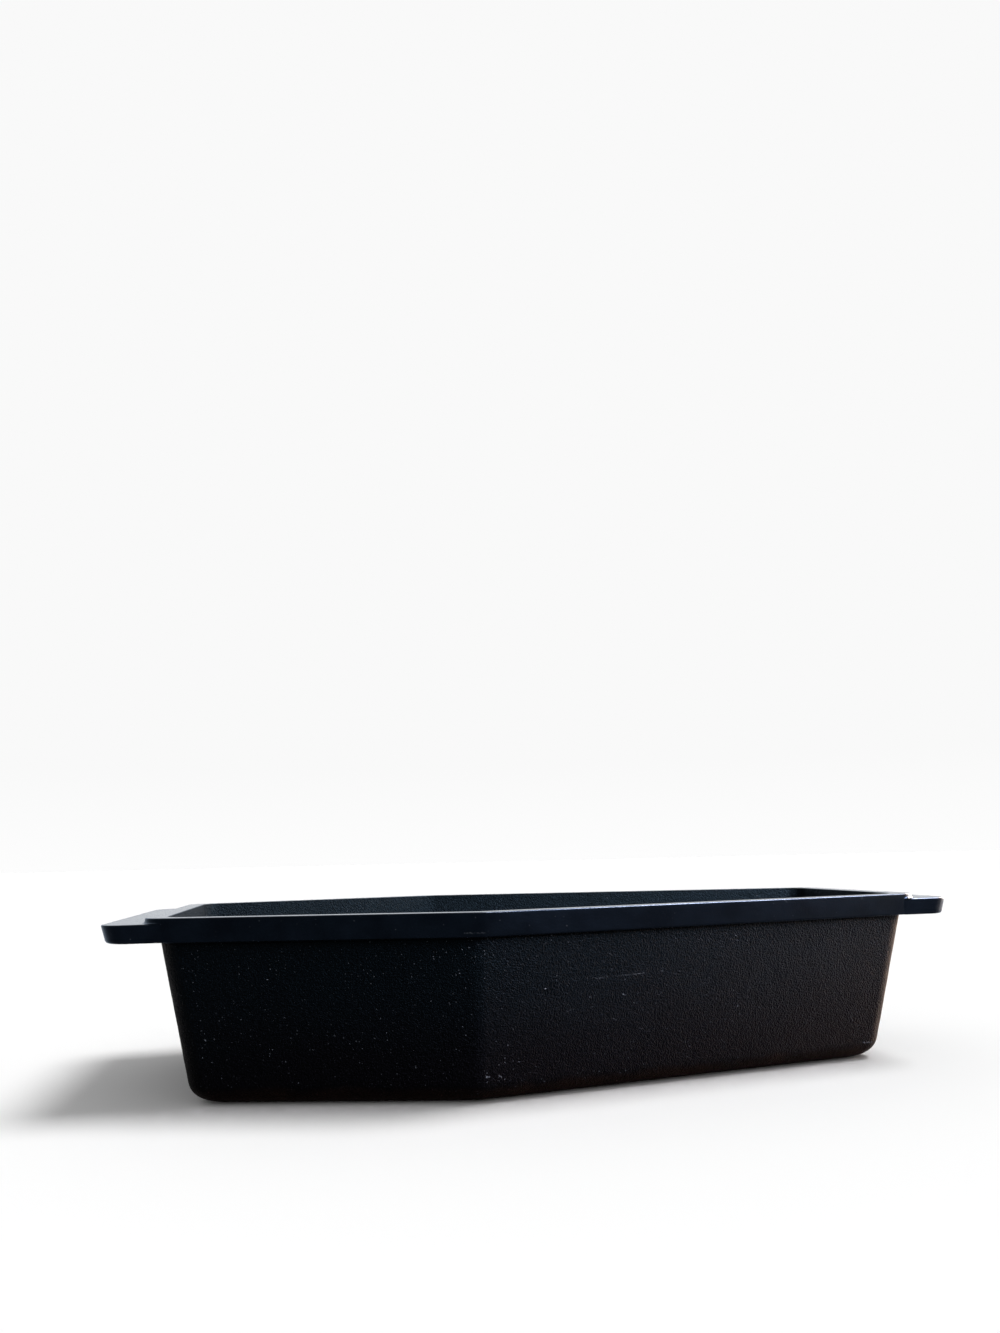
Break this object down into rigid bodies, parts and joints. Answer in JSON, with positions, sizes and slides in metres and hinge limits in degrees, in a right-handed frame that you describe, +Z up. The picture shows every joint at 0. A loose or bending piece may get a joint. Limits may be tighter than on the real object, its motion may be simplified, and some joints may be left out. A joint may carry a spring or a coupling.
{
  "type": "cast iron loaf pan",
  "caption": "Deep cast iron loaf pan, coffin-shaped from above: it flares to a shoulder and tapers to the foot, with a raised rim and a flat grab handle at each end.",
  "frame": {"origin": "on the base plane, under the middle of the overall length, on the plane of symmetry", "axes": "+X from the head end to the foot end, +Z up, and -Y is the pan's left side seen from the foot end"},
  "size_m": [0.34, 0.1614, 0.07],
  "materials": {
    "seasoned_floor": "satin",
    "seasoned_wall": "satin",
    "ground_rim": "satin",
    "handle_iron": "satin"
  },
  "bodies": {
    "root": {"floor": "seasoned_floor", "head_wall": "seasoned_wall", "foot_wall": "seasoned_wall", "left_flare_wall": "seasoned_wall", "right_flare_wall": "seasoned_wall", "left_taper_wall": "seasoned_wall", "right_taper_wall": "seasoned_wall", "rim": "ground_rim", "head_handle": "handle_iron", "foot_handle": "handle_iron"}
  },
  "joints": []
}
